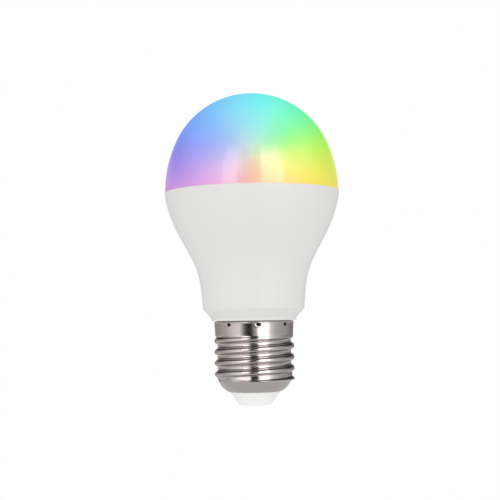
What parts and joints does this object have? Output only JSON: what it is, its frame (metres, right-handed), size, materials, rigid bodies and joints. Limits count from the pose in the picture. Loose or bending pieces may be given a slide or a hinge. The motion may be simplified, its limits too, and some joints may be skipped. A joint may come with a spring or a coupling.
{
  "type": "smart light bulb",
  "caption": "Colour-changing smart LED lamp: opal oval dome on a white pear-shaped housing, with an E27 screw cap and its driver, LED board and radio module inside.",
  "frame": {"origin": "middle of the centre contact's flat end face, on the lamp's axis", "axes": "+Z along the lamp's axis from the contact to the dome, -Y towards the side that faces the viewer, +X to the viewer's right"},
  "size_m": [0.0574, 0.0574, 0.1023],
  "materials": {
    "opal_plastic": "glossy opal polycarbonate",
    "silicone": "cured silicone",
    "housing_plastic": "satin moulded plastic",
    "aluminium": "drawn sheet",
    "thermal_compound": "soft paste",
    "white_board": "white solder mask on aluminium",
    "warm_phosphor": "silicone phosphor in a white frame",
    "cool_phosphor": "silicone phosphor in a white frame",
    "led_frame": "white moulded frame",
    "chip_black": "moulded epoxy",
    "screw_steel": "zinc plated",
    "connector_cream": "moulded nylon",
    "pin_brass": "plated pins",
    "green_board": "glass epoxy with green mask",
    "ferrite": "sintered ferrite",
    "black_plastic": "moulded plastic",
    "copper": "enamelled copper wire",
    "yellow_tape": "polyester tape",
    "can_aluminium": "bright can",
    "blue_sleeve": "shrunk sleeve",
    "green_sleeve": "shrunk sleeve",
    "red_epoxy": "dipped epoxy",
    "tan_ceramic": "coated resistor",
    "white_sleeve": "silicone sleeving",
    "chip_grey": "chip components",
    "blue_board": "glass epoxy with blue mask",
    "tin": "tinned sheet",
    "gold_track": "gilded copper track",
    "brown_insulation": "soft insulation",
    "blue_insulation": "soft insulation",
    "nickel": "nickel plate, satin bright",
    "insulator_white": "moulded white plastic"
  },
  "bodies": {
    "root": {"diffuser_dome": "opal_plastic", "dome_sealant": "silicone", "housing_shell": "housing_plastic", "heat_sink_cup": "aluminium", "mounting_plate": "aluminium", "thermal_paste": "thermal_compound", "led_board": "white_board", "warm_white_leds": "warm_phosphor", "cool_white_leds": "cool_phosphor", "rgb_leds": "led_frame", "led_current_chips": "chip_black", "board_screws": "screw_steel", "led_board_socket": "connector_cream", "driver_pin_header": "pin_brass", "driver_board": "green_board", "transformer_core": "ferrite", "transformer_bobbin": "black_plastic", "transformer_winding": "copper", "transformer_tape": "yellow_tape", "input_capacitor": "can_aluminium", "input_capacitor_sleeve": "blue_sleeve", "output_capacitor": "can_aluminium", "output_capacitor_sleeve": "green_sleeve", "film_capacitor": "red_epoxy", "bridge_rectifier": "chip_black", "choke_core": "ferrite", "choke_winding": "copper", "fusible_resistor": "tan_ceramic", "resistor_sleeve": "white_sleeve", "switching_chip": "chip_black", "output_diode": "chip_black", "voltage_regulator": "chip_black", "chip_resistors": "chip_grey", "radio_board": "blue_board", "radio_shield": "tin", "radio_chip": "chip_black", "radio_antenna": "gold_track", "radio_pin_header": "black_plastic", "live_wire": "brown_insulation", "neutral_wire": "blue_insulation", "screw_shell": "nickel", "base_insulator": "insulator_white", "centre_contact": "nickel"}
  },
  "joints": []
}
